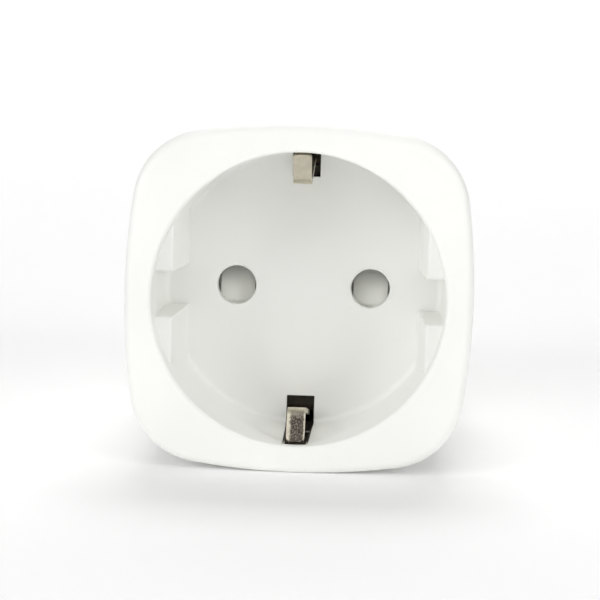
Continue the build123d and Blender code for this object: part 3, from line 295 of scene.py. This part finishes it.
materials = {
    "shell": moulded_plastic("shell_plastic", (0.965, 0.970, 0.938), 0.42),
    "button": moulded_plastic("button_plastic", (0.84, 0.845, 0.835), 0.25, grain_depth=0.002, coat=0.2),
    "shutter": moulded_plastic("shutter_plastic", (0.955, 0.958, 0.895), 0.4),
    "light_guide": moulded_plastic(
        "light_guide_plastic", (0.75, 0.78, 0.80), 0.15, coat=0.5, subsurface=0.5),
    "dark_lining": clip_window_lining("lining_plastic"),
    "nickel_strip": plated_metal("nickel_strip", nickel, 0.34, "YZ", shade(nickel, 0.88), scratch=7.0),
    "nickel_pin": plated_metal("nickel_pin", (0.70, 0.67, 0.62), 0.2, "Y", (0.55, 0.51, 0.45)),
    "contact_brass": plated_metal("contact_brass", (0.76, 0.56, 0.26), 0.3, "Y", (0.55, 0.38, 0.16)),
    "screw_steel": plated_metal("screw_steel", (0.60, 0.60, 0.60), 0.3, "Z", (0.42, 0.42, 0.43)),
    "carrier_plastic": moulded_plastic("carrier_plastic", (0.05, 0.05, 0.055), 0.45),
    "relay_plastic": moulded_plastic("relay_plastic", (0.02, 0.07, 0.22), 0.3, coat=0.3),
    "circuit_board": moulded_plastic("circuit_board", (0.015, 0.12, 0.05), 0.35, coat=0.4),
    "winding": plated_metal("winding_wire", (0.62, 0.24, 0.09), 0.35, "X", (0.42, 0.13, 0.05)),
    "magnet_iron": plated_metal("magnet_iron", (0.50, 0.49, 0.47), 0.38, "X", (0.32, 0.31, 0.30)),
    "ferrite": moulded_plastic("ferrite", (0.035, 0.035, 0.04), 0.7, grain_depth=0.015),
    "capacitor_sleeve": moulded_plastic("capacitor_sleeve", (0.02, 0.025, 0.05), 0.3, coat=0.3),
    "capacitor_box": moulded_plastic("capacitor_box", (0.65, 0.45, 0.03), 0.35),
    "varistor_coat": moulded_plastic("varistor_coat", (0.02, 0.09, 0.28), 0.45, grain=3.0, grain_depth=0.03),
    "resistor_coat": moulded_plastic("resistor_coat", (0.10, 0.28, 0.26), 0.5, grain=3.0, grain_depth=0.02),
    "shunt_metal": plated_metal("shunt_metal", (0.58, 0.38, 0.24), 0.4, "Z", (0.42, 0.26, 0.16)),
    "chip_black": moulded_plastic("chip_black", (0.02, 0.02, 0.022), 0.6),
    "shield_tin": plated_metal("shield_tin", (0.66, 0.66, 0.64), 0.35, "Z", (0.50, 0.50, 0.49)),
    "plunger_black": moulded_plastic("plunger_black", (0.03, 0.03, 0.03), 0.5),
    "led_body": moulded_plastic("led_body", (0.80, 0.80, 0.70), 0.2, coat=0.5),
}

for subpart in frame["record"]["subparts"]:
    node = nodes[subpart["node"]]
    node.data.materials.clear()
    node.data.materials.append(materials[subpart["material_slot"]])

nodes["earth_clip_bottom"].data.materials[0] = dark_lead_in_clip_metal("dark_lead_in_nickel_strip")
for strap in ("earth_strap_top", "earth_strap_bottom"):
    nodes[strap].data.materials[0] = strap_metal("earth_strap_nickel")


def smooth_object(name, form):
    """A smooth-shaded object made of a finished form."""
    mesh = bpy.data.meshes.new(name)
    form.to_mesh(mesh)
    form.free()
    for polygon in mesh.polygons:
        polygon.use_smooth = True
    shaped = bpy.data.objects.new(name, mesh)
    bpy.context.scene.collection.objects.link(shaped)
    return shaped


# ---------------------------------------------------------------- the shutter's spring

wire_radius = 0.2 * MM
spring_turns = 8
# each end of the spring has this many nearly flat turns, which take this share of its height
flat_turns = 0.9
flat_share = 0.05
steps_in_turn = 28
wire_sides = 10


def spring_rise(turn):
    """The share of the spring's height reached after some turns."""
    if turn < flat_turns:
        return flat_share * turn / flat_turns
    if turn > spring_turns - flat_turns:
        return 1 - flat_share * (spring_turns - turn) / flat_turns
    return flat_share + (1 - 2 * flat_share) * (turn - flat_turns) / (spring_turns - 2 * flat_turns)


def wire_ring(form, centre, outward):
    """The wire's outline at one place on the coil."""
    ring = []
    for side in range(wire_sides):
        turn = 2 * pi * side / wire_sides
        reach = outward * cos(turn) + Vector((0, 0, sin(turn)))
        ring.append(form.verts.new(centre + wire_radius * reach))
    return ring


def coil_spring(name, node):
    """A wound compression spring that fills a node's box."""
    low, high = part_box(node)
    middle = (low + high) / 2
    coil_radius = (high.x - low.x) / 2 - wire_radius
    coil_height = high.z - low.z - 2 * wire_radius
    form = bmesh.new()
    rings = []
    for step in range(spring_turns * steps_in_turn + 1):
        angle = 2 * pi * step / steps_in_turn
        outward = Vector((cos(angle), sin(angle), 0.0))
        height = low.z + wire_radius + coil_height * spring_rise(step / steps_in_turn)
        centre = Vector((middle.x, middle.y, height)) + outward * coil_radius
        rings.append(wire_ring(form, centre, outward))
    for first, second in zip(rings, rings[1:]):
        for side in range(wire_sides):
            after = (side + 1) % wire_sides
            form.faces.new((first[side], first[after], second[after], second[side]))
    form.faces.new(rings[0][::-1])
    form.faces.new(rings[-1])
    bmesh.ops.recalc_face_normals(form, faces=form.faces)
    return smooth_object(name, form)


spring = coil_spring("wound_shutter_spring", "shutter_spring")
spring.data.materials.append(materials["screw_steel"])
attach(spring, "housing")
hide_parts("shutter_spring")
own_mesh(spring)


# ---------------------------------------------------------------- floor and backdrop

low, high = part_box("front_cover")
face_y = low.y
face_half = high.z
# the housing grows this much slimmer over its length
housing_taper = 1.5
housing_length = 46.0
floor_slope = housing_taper / housing_length

sweep_front = -1.5
sweep_half_width = 2.2
sweep_top = 2.2
bend_y = 1.1
bend_radius = 0.5
bend_steps = 16
paper_tone = (0.985, 0.985, 0.985)
paper_shine = 0.1
paper_glow = 0.06
white = (1.0, 1.0, 1.0, 1.0)


def floor_height(y):
    """The floor's height under the body, whose lower side slopes up behind the face."""
    return -face_half + floor_slope * (y - face_y)


def sweep_profile():
    """The floor from front to back, then a quarter circle up into an upright backdrop."""
    bend_z = floor_height(bend_y)
    points = [(sweep_front, floor_height(sweep_front)), (bend_y, bend_z)]
    for step in range(1, bend_steps + 1):
        turn = step / bend_steps * pi / 2
        points.append((bend_y + bend_radius * sin(turn), bend_z + bend_radius * (1 - cos(turn))))
    points.append((bend_y + bend_radius, sweep_top))
    return points


def studio_sweep():
    """The pale paper under and behind the object."""
    form = bmesh.new()
    rows = []
    for y, z in sweep_profile():
        rows.append([form.verts.new((x, y, z)) for x in (-sweep_half_width, sweep_half_width)])
    for near, far in zip(rows, rows[1:]):
        form.faces.new((near[0], near[1], far[1], far[0]))
    sweep = smooth_object("studio_sweep", form)
    paper, _, shader = new_material("floor_paper", paper_tone, 0.8)
    shader.inputs["Specular IOR Level"].default_value = paper_shine
    shader.inputs["Emission Color"].default_value = white
    shader.inputs["Emission Strength"].default_value = paper_glow
    sweep.data.materials.append(paper)
    return sweep


floor = studio_sweep()


# ---------------------------------------------------------------- light

world_strength = 0.02
face_middle = (0.0, face_y, 0.0)
backdrop_foot = (0.0, 1.6, 0.3)

# name, place, aim, side in metres, power in watts
softboxes = (
    ("overhead_light", (0.0, -0.15, 1.1), face_middle, 1.4, 3.1),
    ("high_front_light", (-0.05, -0.95, 1.25), face_middle, 1.2, 3.9),
    ("left_light", (-0.85, -0.75, 0.35), face_middle, 0.6, 4.6),
    ("right_light", (0.85, -0.75, 0.35), face_middle, 0.6, 4.2),
    ("front_light", (-0.12, -1.1, 0.42), face_middle, 0.6, 1.2),
    ("backdrop_light", (0.0, 0.9, 1.7), backdrop_foot, 1.0, 19.0),
)


def turn_towards(thing, aim):
    """Turn a lamp or a camera to look at a place."""
    view_line = Vector(aim) - thing.location
    thing.rotation_euler = view_line.to_track_quat("-Z", "Y").to_euler()


def softbox(name, place, aim, side, power):
    """A square area light."""
    light = bpy.data.lights.new(name, "AREA")
    light.size = side
    light.energy = power
    lamp = bpy.data.objects.new(name, light)
    lamp.location = place
    turn_towards(lamp, aim)
    bpy.context.scene.collection.objects.link(lamp)


def studio_world():
    """Faint even light from all round."""
    world = bpy.data.worlds.new("studio")
    world.use_nodes = True
    background = world.node_tree.nodes["Background"]
    background.inputs["Color"].default_value = white
    background.inputs["Strength"].default_value = world_strength
    return world


bpy.context.scene.world = studio_world()
for settings in softboxes:
    softbox(*settings)


# ---------------------------------------------------------------- camera

lens_length = 126.66
sensor_width = 36.0
nearest_view = 0.01
camera_roll = 1.54
# the camera stands in front of the face's middle, a little to the right and above
camera_right = 0.0117
camera_distance = 0.280
camera_up = 0.0327
aim_right = 0.00026
aim_up = 0.00013


def studio_camera():
    """The camera, whose perspective shows the depth of the well."""
    lens = bpy.data.cameras.new("camera")
    lens.lens = lens_length
    lens.sensor_width = sensor_width
    lens.clip_start = nearest_view
    camera = bpy.data.objects.new("camera", lens)
    camera.location = (camera_right, face_y - camera_distance, camera_up)
    turn_towards(camera, (aim_right, face_y, aim_up))
    camera.rotation_euler.rotate_axis("Z", radians(camera_roll))
    bpy.context.scene.collection.objects.link(camera)
    return camera


bpy.context.scene.camera = studio_camera()
bpy.context.scene.view_settings.view_transform = "Standard"
